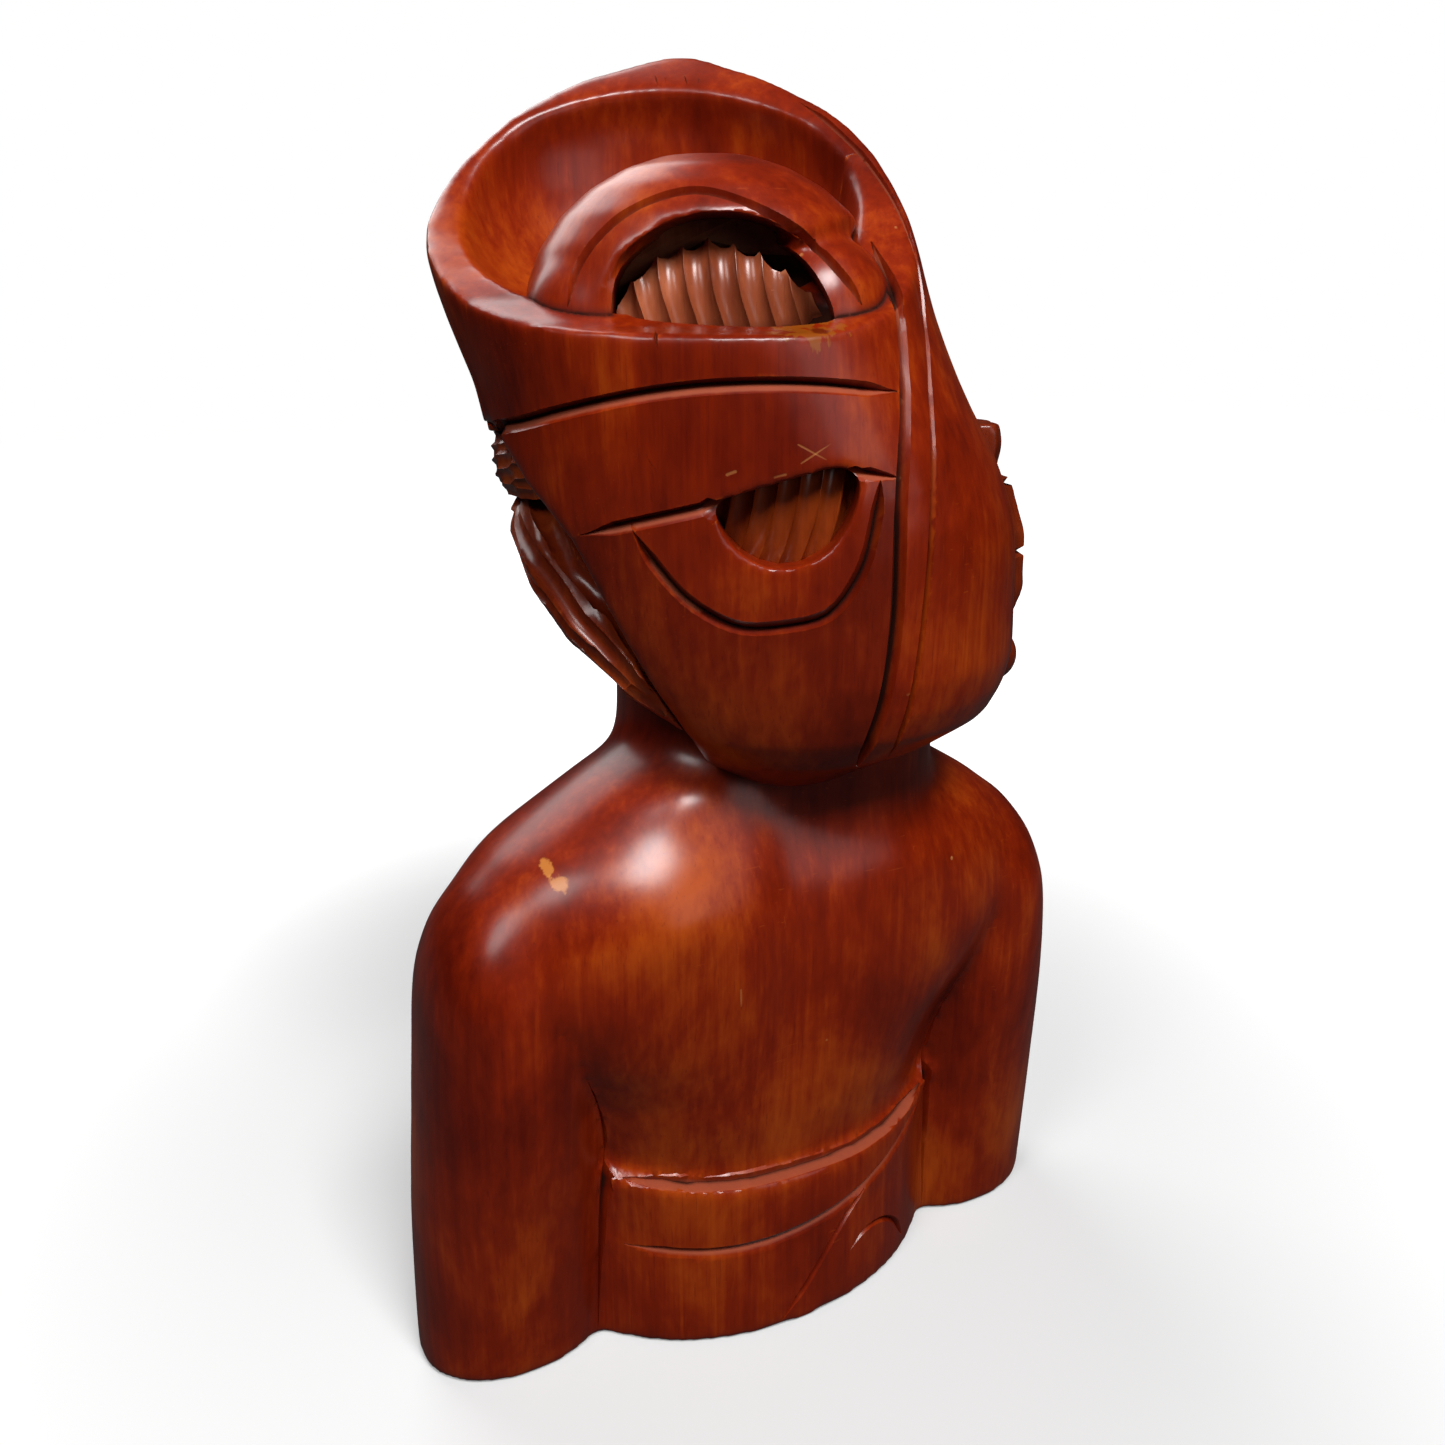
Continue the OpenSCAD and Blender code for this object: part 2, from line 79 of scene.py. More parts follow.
# Ridges of the left roll, and the rings round the right one: points in the head's frame
ROLL_RIDGES = [
    [(66, -4, 240), (68, 14, 233), (60, 32, 225), (49, 44, 213), (38, 48, 202), (28, 46, 190)],
    [(70, 2, 236), (72, 14, 228), (66, 30, 217), (54, 44, 206), (42, 50, 197), (30, 47, 187)],
    [(60, -2, 242), (62, 14, 238), (54, 30, 230), (45, 40, 219), (35, 44, 206), (27, 44, 194)],
    [(64, -14, 228), (68, 8, 221), (62, 24, 211), (50, 38, 200), (38, 46, 191)],
]
RING_HEIGHTS = (241, 218, 198)

# Lines of the dress and of its leaf, seen square from behind or from the front
DRESS_TOP = [(57, 57), (50, 54), (25, 51), (0, 50), (-25, 50), (-50, 53), (-57, 56)]
DRESS_FRONT = [(54, 89), (40, 94), (22, 96), (0, 97), (-22, 96), (-40, 94), (-54, 89)]
DRESS_FOLD = [(50, 33), (26, 31), (4, 32), (-16, 36), (-34, 43), (-48, 51)]
LEAF_FOLD = [(8, 2), (0, 12), (-6, 20), (-13, 29), (-22, 37)]
LEAF_EDGE = [(-16, 17), (-22, 21), (-30, 20), (-37, 14), (-41, 6)]
ARMPITS = ((46, 72), (-72, -46))

# Soft relief of the back: across, height, half a width, half a height and rise of every hill
BACK_RELIEF = [
    (40, 137, 17, 12, 2.6),
    (-30, 142, 17, 12, 2.4),
    (4, 122, 9, 40, -2.4),
    (30, 165, 10, 8, 1.5),
]

# Lines of the face, for the figure's own left side
UPPER_LID = [(9, 231), (14, 235), (20, 236.5), (27, 235), (32, 230)]
LOWER_LID = [(10, 230), (15, 227.5), (21, 226.5), (27, 227.5), (31, 229.5)]
BROW = [(7, 242), (15, 246), (24, 247), (33, 243)]
MOUTH = [(-14, 196), (-7, 196.5), (0, 195.5), (7, 196.5), (14, 196)]

# Scratches in the varnish: both ends in metres, and half a width
SCRATCHES = [
    ((0.0164, 0.0786, 0.2582), (0.0104, 0.0807, 0.2548), 0.00035),
    ((0.0158, 0.0789, 0.2541), (0.0093, 0.0808, 0.2583), 0.0003),
    ((0.0307, 0.0718, 0.2517), (0.0291, 0.0727, 0.2524), 0.0005),
    ((0.0212, 0.0766, 0.2510), (0.0190, 0.0775, 0.2516), 0.0005),
    ((0.0436, 0.0541, 0.0820), (0.0420, 0.0547, 0.0818), 0.0004),
    ((0.0225, 0.0634, 0.1160), (0.0223, 0.0634, 0.1110), 0.0004),
    ((-0.0273, 0.0496, 0.3085), (-0.0273, 0.0500, 0.3045), 0.0005),
]

# Damage: middle and half sizes of every patch, in metres
SHOULDER_CHIP = ((0.0668, 0.0431, 0.1514), (0.0016, 0.005, 0.0024))
CHIP_TAIL = ((0.0652, 0.0440, 0.1478), (0.0022, 0.005, 0.0018))
RUBBED_LIP = ((0.012, 0.0755, 0.283), (0.0065, 0.009, 0.0032))
LIP_PIT = ((0.0098, 0.0768, 0.2826), (0.0024, 0.005, 0.0008))


# Small tools for work by hand
def deselect():
    if bpy.context.object and bpy.context.object.mode != "OBJECT":
        bpy.ops.object.mode_set(mode="OBJECT")
    bpy.ops.object.select_all(action="DESELECT")


def pick(piece):
    deselect()
    piece.select_set(True)
    bpy.context.view_layer.objects.active = piece


def modify(piece, kind, **settings):
    pick(piece)
    modifier = piece.modifiers.new(kind.lower(), kind)
    for name, value in settings.items():
        setattr(modifier, name, value)
    bpy.ops.object.modifier_apply(modifier=modifier.name)


def new_piece(name, mesh):
    piece = bpy.data.objects.new(name, mesh)
    bpy.context.scene.collection.objects.link(piece)
    return piece


def copy_of(piece, name):
    twin = piece.copy()
    twin.data = piece.data.copy()
    twin.name = name
    bpy.context.scene.collection.objects.link(twin)
    return twin


def discard(piece):
    mesh = piece.data
    bpy.data.objects.remove(piece)
    bpy.data.meshes.remove(mesh)


def copies(name, nodes):
    """One new mesh that holds the solids of several nodes, with their loose triangles merged."""
    deselect()
    for node in nodes:
        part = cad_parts[node]
        mesh = part.data.copy()
        mesh.materials.clear()
        twin = new_piece(name + "." + node, mesh)
        twin.select_set(True)
        bpy.context.view_layer.objects.active = twin
    bpy.ops.object.join()
    joined = bpy.context.object
    joined.name = name
    bpy.ops.object.mode_set(mode="EDIT")
    bpy.ops.mesh.select_all(action="SELECT")
    bpy.ops.mesh.remove_doubles(threshold=MERGE)
    bpy.ops.object.mode_set(mode="OBJECT")
    return joined


def fuse(piece, grow, voxel, rounds):
    """Closes the parting lines, makes one even skin and smooths the facets away."""
    modify(piece, "DISPLACE", strength=grow, mid_level=0)
    modify(piece, "REMESH", mode="VOXEL", voxel_size=voxel)
    modify(piece, "SMOOTH", factor=0.5, iterations=6)
    modify(piece, "DISPLACE", strength=-grow, mid_level=0)
    modify(piece, "SMOOTH", factor=0.5, iterations=rounds)


def boolean(piece, tool, operation, keep_tool=False):
    modify(piece, "BOOLEAN", operation=operation, object=tool, solver="MANIFOLD")
    if not keep_tool:
        discard(tool)


def smooth_path(points, step=2.5):
    """A curve through given points, as evenly spaced points."""
    points = [Vector(p) for p in points]
    ends = [2 * points[0] - points[1]] + points + [2 * points[-1] - points[-2]]
    dense = []
    for i in range(1, len(ends) - 2):
        a, b, c, d = ends[i - 1:i + 3]
        for k in range(16):
            t = k / 16
            bend = 2 * a - 5 * b + 4 * c - d + t * (3 * (b - c) + d - a)
            dense.append(b + 0.5 * t * (c - a + t * bend))
    dense.append(points[-1])
    path = [dense[0]]
    for p in dense[1:-1]:
        if (p - path[-1]).length > step:
            path.append(p)
    path.append(dense[-1])
    return path


def line_at(line, step=2.5):
    """A curve through points given across and in height, as evenly spaced points."""
    return [(p.x, p.y) for p in smooth_path([Vector((x, z, 0)) for x, z in line], step)]


def skin_of(piece):
    return BVHTree.FromObject(piece, bpy.context.evaluated_depsgraph_get())


def onto(skin, place, line, front=False, step=2.5):
    """Drops a line that is seen square from behind, or from the front, onto a carved surface."""
    spots = []
    start_y, way = (-300, 1) if front else (300, -1)
    aim = (place.to_3x3() @ Vector((0, way, 0))).normalized()
    for x, z in line_at(line, step):
        start = place @ Vector((x, start_y, z)) * MM
        hit, normal, _, _ = skin.ray_cast(start, aim)
        if hit is not None:
            spots.append((hit, normal))
    return spots


def beside(skin, place, points):
    """Moves a line of points near a carved surface onto it."""
    spots = []
    for p in smooth_path(points):
        hit, normal, _, _ = skin.find_nearest(place @ p * MM)
        spots.append((hit, normal))
    return spots


def valley(skin, place, heights, low_x, high_x):
    """The deepest line of a hollow that runs upright, seen square from behind."""
    spots = []
    aim = place.to_3x3() @ Vector((0, -1, 0))
    for z in heights:
        deepest = None
        for k in range(41):
            x = low_x + (high_x - low_x) * k / 40
            hit = skin.ray_cast(place @ Vector((x, 300, z)) * MM, aim)[0]
            if hit is not None and (deepest is None or hit.y < deepest.y):
                deepest = hit
        if deepest is not None:
            spots.append(deepest)
    for _ in range(6):
        inner = [(a + 2 * b + c) / 4 for a, b, c in zip(spots, spots[1:], spots[2:])]
        spots = [spots[0]] + inner + [spots[-1]]
    return [(spot, -aim) for spot in spots]


def sweep(name, spots, profile, taper=3):
    """A tool swept along spots on a surface, with a profile across and out of it in millimetres."""
    mesh = bpy.data.meshes.new(name)
    bm = bmesh.new()
    rings = []
    count = len(spots)
    for i, (at, normal) in enumerate(spots):
        along = (spots[min(i + 1, count - 1)][0] - spots[max(i - 1, 0)][0]).normalized()
        across = along.cross(normal).normalized()
        out = across.cross(along).normalized()
        size = min(1, (i + 0.35) / taper, (count - 0.65 - i) / taper) if taper else 1
        ring = []
        for u, v in profile:
            rise = v * size if v < 0 else v
            ring.append(bm.verts.new(at + across * (u * size * MM) + out * (rise * MM)))
        rings.append(ring)
    n = len(profile)
    for a, b in zip(rings, rings[1:]):
        for k in range(n):
            bm.faces.new((a[k], a[(k + 1) % n], b[(k + 1) % n], b[k]))
    bm.faces.new(rings[0])
    bm.faces.new(list(reversed(rings[-1])))
    bmesh.ops.recalc_face_normals(bm, faces=bm.faces)
    bm.to_mesh(mesh)
    bm.free()
    return new_piece(name, mesh)


def vee(width, depth, lean=0.0, over=2.0):
    """The section of a V-tool. lean moves its deepest point to one side."""
    half = width / 2
    spread = 1 + over / depth
    low = lean * half
    left = (low + (-half - low) * spread, over)
    right = (low + (half - low) * spread, over)
    section = []
    for start, end in ((left, (low, -depth)), ((low, -depth), right)):
        count = max(1, round((end[0] - start[0]) / 1.5))
        for k in range(count):
            share = k / count
            across = start[0] + (end[0] - start[0]) * share
            out = start[1] + (end[1] - start[1]) * share
            section.append((across, out))
    section.append(right)
    return section


def gouge(radius, depth, sides=10):
    """The round section of a gouge that cuts to a given depth."""
    rise = radius - depth
    turns = [2 * math.pi * k / sides for k in range(sides)]
    return [(radius * math.cos(turn), rise + radius * math.sin(turn)) for turn in turns]


def carve(piece, spots, profile, taper=3):
    if len(spots) > 2:
        boolean(piece, sweep("tool", spots, profile, taper), "DIFFERENCE")


def prism(name, place, outline, low_y, high_y):
    """A straight cutter with an outline seen square from behind."""
    bm = bmesh.new()
    near = [bm.verts.new(place @ Vector((x, high_y, z)) * MM) for x, z in outline]
    far = [bm.verts.new(place @ Vector((x, low_y, z)) * MM) for x, z in outline]
    n = len(outline)
    for k in range(n):
        bm.faces.new((near[k], near[(k + 1) % n], far[(k + 1) % n], far[k]))
    bm.faces.new(near)
    bm.faces.new(list(reversed(far)))
    bmesh.ops.triangulate(bm, faces=[f for f in bm.faces if len(f.verts) > 4])
    bmesh.ops.recalc_face_normals(bm, faces=bm.faces)
    mesh = bpy.data.meshes.new(name)
    bm.to_mesh(mesh)
    bm.free()
    return new_piece(name, mesh)


def egg(name, centre, size, segments=48):
    """A plain egg-shaped piece in the head's frame."""
    deselect()
    bpy.ops.mesh.primitive_uv_sphere_add(segments=segments, ring_count=segments * 5 // 8, radius=1)
    piece = bpy.context.object
    piece.name = name
    place = Matrix.Scale(MM, 4) @ HEAD @ Matrix.Translation(centre)
    piece.data.transform(place @ Matrix.Diagonal((*size, 1)))
    return piece


def join(piece, added):
    """Makes an added piece part of another."""
    pick(added)
    piece.select_set(True)
    bpy.context.view_layer.objects.active = piece
    bpy.ops.object.join()


def column(mesh, name):
    """A vector of every point of a mesh, as rows of three numbers."""
    values = np.empty(len(mesh.vertices) * 3)
    mesh.vertices.foreach_get(name, values)
    return values.reshape(-1, 3)


def region_smooth(piece, weight_at, rounds):
    """Smooths only where weight_at, given the points in millimetres, says so."""
    weights = np.clip(weight_at(column(piece.data, "co") / MM), 0, 1)
    group = piece.vertex_groups.new(name="soft")
    levels = np.round(weights * 8).astype(int)
    for level in range(1, 9):
        group.add(np.nonzero(levels == level)[0].tolist(), level / 8, "REPLACE")
    modify(piece, "SMOOTH", factor=0.5, iterations=rounds, vertex_group="soft")
    piece.vertex_groups.clear()


def swell(piece, hills, place=BODY, facing=0.2):
    """Raises or hollows the back of a form round points seen square from behind."""
    mesh = piece.data
    spots = column(mesh, "co")
    facings = column(mesh, "normal")
    inverse = np.array(place.inverted())
    local = spots / MM @ inverse[:3, :3].T + inverse[:3, 3]
    back = (facings @ inverse[:3, :3].T)[:, 1]
    rise = np.zeros(len(spots))
    for x, z, wide, high, by in hills:
        rise += by * np.exp(-((local[:, 0] - x) / wide) ** 2 - ((local[:, 2] - z) / high) ** 2)
    rise *= np.clip((back - facing) * 2, 0, 1)
    mesh.vertices.foreach_set("co", (spots + facings * rise[:, None] * MM).ravel())
    mesh.update()


def tuck(piece, line, deep, fade):
    """Draws the back in over a line seen square from behind, so that what is under the line stands out."""
    mesh = piece.data
    spots = column(mesh, "co")
    facings = column(mesh, "normal")
    across, level = np.array(sorted(line), dtype=float).T
    x = spots[:, 0] / MM
    over = spots[:, 2] / MM - np.interp(x, across, level)
    share = np.clip(over / 2.5, 0, 1) * np.exp(-(np.maximum(over, 0) / fade) ** 2)
    share *= np.clip((across[-1] - np.abs(x)) / 5, 0, 1) * np.clip(facings[:, 1] * 2, 0, 1)
    spots[:, 1] -= deep * MM * share
    mesh.vertices.foreach_set("co", spots.ravel())
    mesh.update()


def part_off(block_piece, name, cutter):
    """Takes the part inside a cutter off a block, as a new piece."""
    piece = copy_of(block_piece, name)
    boolean(piece, cutter, "INTERSECT", keep_tool=True)
    boolean(block_piece, cutter, "DIFFERENCE")
    return piece


# Shader maths as plain expressions
class Value:
    """Wraps a socket of a material, so that operators on it add Math nodes."""

    def __init__(self, tree, socket=None):
        self.tree = tree
        self.socket = socket

    def node(self, kind, settings=None, inputs=None, output=0):
        """Adds any node: its type, its settings, and the values or links of its sockets."""
        made = self.tree.nodes.new("ShaderNode" + kind)
        for name, value in (settings or {}).items():
            setattr(made, name, value)
        for name, value in (inputs or {}).items():
            if isinstance(value, Value):
                self.tree.links.new(value.socket, made.inputs[name])
            else:
                made.inputs[name].default_value = value
        return Value(self.tree, made.outputs[output])

    def maths(self, operation, first, second=0.0):
        return self.node("Math", {"operation": operation}, {0: first, 1: second})

    def __add__(self, other):
        return self.maths("ADD", self, other)

    __radd__ = __add__

    def __sub__(self, other):
        return self.maths("SUBTRACT", self, other)

    def __rsub__(self, other):
        return self.maths("SUBTRACT", other, self)

    def __mul__(self, other):
        return self.maths("MULTIPLY", self, other)

    __rmul__ = __mul__

    def between(self, low, high):
        """Runs smoothly from 0 at low to 1 at high."""
        return self.node("MapRange", {"interpolation_type": "SMOOTHSTEP"},
                         {"Value": self, "From Min": low, "From Max": high})

    def mix(self, first, second):
        """A colour between two others, with this value as the share of the second."""
        return self.node("Mix", {"data_type": "RGBA"}, {0: self, 6: first, 7: second}, 2)


def colour(red, green, blue):
    return (red, green, blue, 1)


def spot_mask(shade, where, centre, size, ragged):
    """A ragged patch round a point of the object, in metres."""
    away = shade.node("VectorMath", {"operation": "SUBTRACT"}, {0: where, 1: centre})
    away = shade.node("VectorMath", {"operation": "DIVIDE"}, {0: away, 1: size})
    far = shade.node("VectorMath", {"operation": "LENGTH"}, {0: away}, 1)
    return (far + ragged).between(1.15, 0.85)


def stroke(shade, where, start, end, wide):
    """A thin straight scratch between two points of the object, in metres."""
    way = Vector(end) - Vector(start)
    share = way / way.length_squared
    away = shade.node("VectorMath", {"operation": "SUBTRACT"}, {0: where, 1: start})
    along = shade.node("VectorMath", {"operation": "DOT_PRODUCT"}, {0: away, 1: share}, 1)
    along = shade.node("Clamp", None, {"Value": along})
    step = shade.node("VectorMath", {"operation": "SCALE"}, {0: way, "Scale": along})
    gap = shade.node("VectorMath", {"operation": "DISTANCE"}, {0: away, 1: step}, 1)
    return gap.between(wide, wide * 0.4)


def carved_wood(name, deep, middle, light, dust_and_light_tone, roughness):
    """Varnished hardwood with upright grain, pores, scratches, paler edges and ledges, and painted shade
    in the cuts and hollows.
    """
    material = bpy.data.materials.new(name)
    material.use_nodes = True
    tree = material.node_tree
    shade = Value(tree)
    where = shade.node("TexCoord", output=3)

    def noise(stretch, detail=4, rough=0.55, warp=0.0, turn=(0, 0, 0)):
        at = shade.node("Mapping", None, {"Vector": where, "Scale": stretch, "Rotation": turn})
        sockets = {"Vector": at, "Scale": 1.0, "Detail": detail, "Roughness": rough, "Distortion": warp}
        return shade.node("TexNoise", None, sockets)

    blotch = noise((15, 15, 9), 5, 0.6, 0.5)
    cloud = noise((44, 44, 22), 5, 0.65, 0.3)
    grain = noise((420, 420, 14), 6, 0.6, 0.3)
    band = noise((80, 80, 3), 3, 0.5, 0.6)
    pore = noise((1700, 1700, 70), 2, 0.5)
    ragged = noise((150, 150, 90), 5, 0.7) - 0.5
    cut = shade.node("Attribute", {"attribute_name": "cut"}, output=2)
    ledge = shade.node("Attribute", {"attribute_name": "ledge"}, output=2)
    edge = shade.node("Attribute", {"attribute_name": "edge"}, output=2)

    # Body colour of the varnished wood
    tone = blotch * 0.6 + cloud * 0.4 + band * 0.09 + grain * 0.2
    wood = tone.between(0.47, 0.72).mix(deep, middle)
    wood = tone.between(0.63, 0.86).mix(wood, light)
    pores = pore.between(0.63, 0.72)
    wood = (pores * 0.3).mix(wood, deep)

    # Short hairline scratches in two directions, and a few bare specks
    sparse = noise((30, 30, 30), 2).between(0.52, 0.66)
    hair_a = noise((60, 1500, 1500), 1, 0.5, 0.0, (0.3, 0.9, 0.5)).between(0.7, 0.76)
    hair_b = noise((1500, 1500, 70), 1, 0.5, 0.0, (0.5, -0.5, 0.2)).between(0.71, 0.77)
    scratch = (hair_a + hair_b) * sparse
    cells = shade.node("TexVoronoi", {"feature": "F1"}, {"Vector": where, "Scale": 85.0})
    speck = cells.between(0.06, 0.035) * noise((60, 60, 60), 1).between(0.66, 0.7)
    bare = colour(0.5, 0.2, 0.06)
    wood = (scratch * 0.3).mix(wood, light)
    wood = (speck * 0.75).mix(wood, bare)

    # Paler convex edges (rubbing and painted highlight) and ledges (dust and painted light); painted shade
    # in cuts, near neighbours and in hollows
    # Rubbing and painted highlight: paler on convex edges
    worn_and_lit_edge = (edge + ragged * 0.7).between(0.35, 0.95)
    wood = (worn_and_lit_edge * 0.5).mix(wood, light)
    # Painted shade: darker in the cuts and close to neighbouring parts
    groove_shade = (cut + ragged * 0.2).between(0.05, 0.75)
    wood = (groove_shade * 0.6).mix(wood, deep)
    # Dust and painted light: paler on up-facing ledges in the cuts
    ledge_dust_and_light = (ledge + ragged * 0.5).between(0.2, 0.8)
    wood = (ledge_dust_and_light * 0.62).mix(wood, dust_and_light_tone)
    # Painted shade: near-black in the deepest cuts and in concave hollows
    black = colour(0.016, 0.005, 0.003)
    bottom = (cut + ragged * 0.25).between(0.6, 0.95)
    wood = (bottom * 0.9).mix(wood, black)
    hollow = (ragged * 0.3 - edge).between(0.3, 0.95)
    wood = (hollow * 0.7).mix(wood, black)

    # Damage: a chip on the shoulder, a rubbed lip with a pit, and scratches
    chip = spot_mask(shade, where, *SHOULDER_CHIP, ragged * 2.6)
    chip = chip + spot_mask(shade, where, *CHIP_TAIL, ragged * 2.6)
    wood = (chip * 0.85).mix(wood, colour(0.5, 0.17, 0.03))
    fibres = (grain - 0.5) * 5 + ragged * 1.5
    rubbed = spot_mask(shade, where, *RUBBED_LIP, fibres)
    wood = (rubbed * 0.42).mix(wood, colour(0.30, 0.10, 0.006))
    pit = spot_mask(shade, where, *LIP_PIT, ragged * 2)
    wood = (pit * 0.8).mix(wood, deep)
    marks = None
    for start, end, wide in SCRATCHES:
        line = stroke(shade, where, start, end, wide)
        marks = line if marks is None else marks + line
    marks = marks * (ragged + 0.55).between(0.2, 0.6)
    wood = (marks * 0.4).mix(wood, bare)

    # Finish: the painted groove shade, pale ledges and scratches are duller, and the grain is a fine
    # relief under the varnish
    rough = blotch * 0.1 + cloud * 0.1 + groove_shade * 0.25 + ledge_dust_and_light * 0.25
    rough = rough + bottom * 0.2 + scratch * 0.15 + (roughness - 0.1)
    relief = grain * 0.3 - pores * 0.5 + ragged * 0.35 + cloud * 1.2 - scratch * 0.5 - chip * 2 - marks
    bump = shade.node("Bump", None, {"Strength": 0.14, "Distance": 0.0006, "Height": relief})
    shader = tree.nodes["Principled BSDF"]
    tree.links.new(wood.socket, shader.inputs["Base Color"])
    tree.links.new(rough.socket, shader.inputs["Roughness"])
    tree.links.new(bump.socket, shader.inputs["Normal"])
    varnish = (1 - ledge_dust_and_light) * (1 - bottom) * 0.55
    tree.links.new(varnish.socket, shader.inputs["Coat Weight"])
    shader.inputs["Coat Roughness"].default_value = 0.25
    shader.inputs["Specular IOR Level"].default_value = 0.1
    return material


# Depths for wear and painted shade: gaps under the first aren't cuts, the second is a full cut and the
# third a close neighbour
UNCUT = 0.08 * MM
FULL_CUT = 2.4 * MM
CLOSE_BY = 2.2 * MM


def mark_wear_and_shade(piece, skin, others):
    """Notes on every point how deep it is cut, whether it is a ledge, how sharp an edge it is on."""
    mesh = piece.data
    spots = column(mesh, "co")
    facings = column(mesh, "normal")
    count = len(spots)
    depth = np.zeros(count)
    close = np.zeros(count)
    for i, spot in enumerate(spots):
        spot = Vector(spot)
        if skin is not None:
            hit, normal, _, gap = skin.find_nearest(spot)
            if hit is not None and gap > UNCUT and (spot - hit).dot(normal) < 0:
                depth[i] = min(1, gap / FULL_CUT)
        for other in others:
            hit, _, _, gap = other.find_nearest(spot, CLOSE_BY)
            if hit is not None:
                close[i] = max(close[i], 1 - gap / CLOSE_BY)
    ledge = np.clip((facings[:, 2] - 0.25) / 0.4, 0, 1) * (depth > 0.03)
    ends = np.empty(len(mesh.edges) * 2, dtype=np.int64)
    mesh.edges.foreach_get("vertices", ends)
    ends = ends.reshape(-1, 2)
    step = spots[ends[:, 1]] - spots[ends[:, 0]]
    length = np.maximum(np.linalg.norm(step, axis=1), 1e-9)
    bend = np.zeros(count)
    met = np.zeros(count)
    for near, sign in ((0, 1.0), (1, -1.0)):
        lean = sign * np.einsum("ij,ij->i", step, facings[ends[:, near]])
        np.add.at(bend, ends[:, near], -lean)
        np.add.at(met, ends[:, near], length)
    bend = bend / np.maximum(met, 1e-9) * 4
    for _ in range(2):
        total = bend.copy()
        share = np.ones(count)
        for near, far in ((0, 1), (1, 0)):
            np.add.at(total, ends[:, near], bend[ends[:, far]])
            np.add.at(share, ends[:, near], 1)
        bend = total / share
    # Cut depth and nearness of neighbours drive painted shade; ledge and edge drive dust, rubbing and
    # painted light
    wear_and_shade = {"cut": np.maximum(depth, close), "ledge": ledge, "edge": np.clip(bend, -1, 1)}
    for name, values in wear_and_shade.items():
        attribute = mesh.attributes.new(name, "FLOAT", "POINT")
        attribute.data.foreach_set("value", values.astype(np.float32))


# Headwrap, as one fused form that is then carved and parted along its own lines
CLOTH_NODES = ["wrap_band_upper", "wrap_front", "wrap_crown", "wrap_drape"]
PARTED_NODES = ["wrap_back_panel", "wrap_crescent", "wrap_band_middle", "wrap_strap"]
cloth = copies("cloth", CLOTH_NODES + PARTED_NODES)
fuse(cloth, grow=0.0009, voxel=0.0012, rounds=12)
region_smooth(cloth, lambda p: (p[:, 2] - 292) / 10, 30)
cloth_skin = skin_of(cloth)
for line, section in (
    (UPPER_LINE, vee(3.6, 2.4, -0.4)),
    (MIDDLE_LINE, vee(3.4, 2.2, -0.4)),
    (CRESCENT, vee(3.4, 2.4, 0.3)),
    (STRAP_LEFT[2:], vee(3.6, 3)),
    (STRAP_RIGHT, vee(1.8, 1.5)),
    (LIP_CRACK, vee(0.9, 1)),
    (BAND_CRACK, vee(0.9, 0.8)),
):
    carve(cloth, onto(cloth_skin, HEAD, line), section)
for line in CREST_CRACKS:
    carve(cloth, onto(cloth_skin, HEAD, line, step=1), vee(0.8, 0.8))

# Channel behind the lip
channel = [(HEAD @ p * MM, Vector((0, 0, 1))) for p in smooth_path(CHANNEL)]
carve(cloth, channel, gouge(radius=9, depth=8, sides=16), taper=4)

# Arch fold inside the crown, with its own groove and gap
arch = copies("arch", ["wrap_arch"])
join(arch, egg("right_foot", (-9, 29, 284), (19, 20, 21)))
join(arch, egg("left_foot", (40, 27, 284), (22, 20, 21)))
fuse(arch, grow=0.0004, voxel=0.001, rounds=14)
region_smooth(arch, lambda p: (300 - p[:, 2]) / 8, 25)
arch_skin = skin_of(arch)
carve(arch, onto(arch_skin, HEAD, ARCH_GROOVE), vee(2.6, 2.8, 0.3))
boolean(arch, prism("gap", HEAD, line_at(CROWN_GAP), low_y=14, high_y=90), "DIFFERENCE")

# Body, as one fused form
BODY_NODES = ["torso", "arm_left", "arm_right", "neck"]
body = copies("body", BODY_NODES + ["dress_band", "dress_skirt", "shoulder_dowels"])
fuse(body, grow=0.0008, voxel=0.0016, rounds=8)
region_smooth(body, lambda p: (p[:, 2] - 112) / 12 * (p[:, 2] < 190), 70)
swell(body, BACK_RELIEF)
region_smooth(body, lambda p: (p[:, 2] - 90) / 12 * (p[:, 2] < 190), 10)
tuck(body, DRESS_TOP, deep=3, fade=18)
body_skin = skin_of(body)
for line, section in (
    ([(x, z + 1) for x, z in DRESS_TOP[1:-1]], vee(4.4, 2, -0.7)),
    (DRESS_FOLD, vee(3.4, 1.8, -0.5)),
    (LEAF_FOLD, vee(2.2, 1.4, 0.4)),
    (LEAF_EDGE, vee(2, 1.4)),
):
    carve(body, onto(body_skin, BODY, line), section)
carve(body, onto(body_skin, BODY, DRESS_FRONT, front=True), vee(2.6, 1.6))
for low_x, high_x in ARMPITS:
    crease = valley(body_skin, BODY, range(2, 98, 4), low_x, high_x)
    carve(body, crease, vee(2.2, 1.8), taper=10)

# Face and skull
face = copies("face", ["head"])
fuse(face, grow=0.0003, voxel=0.0012, rounds=6)
face_skin = skin_of(face)
for line, section in ((UPPER_LID, vee(1.6, 1.1)), (LOWER_LID, vee(1.3, 0.8)), (BROW, vee(2.2, 0.7))):
    mirrored = [(-x, z) for x, z in line]
    carve(face, onto(face_skin, HEAD, line, front=True), section)
    carve(face, onto(face_skin, HEAD, mirrored, front=True), section)
carve(face, onto(face_skin, HEAD, MOUTH, front=True), vee(1.8, 1.4))


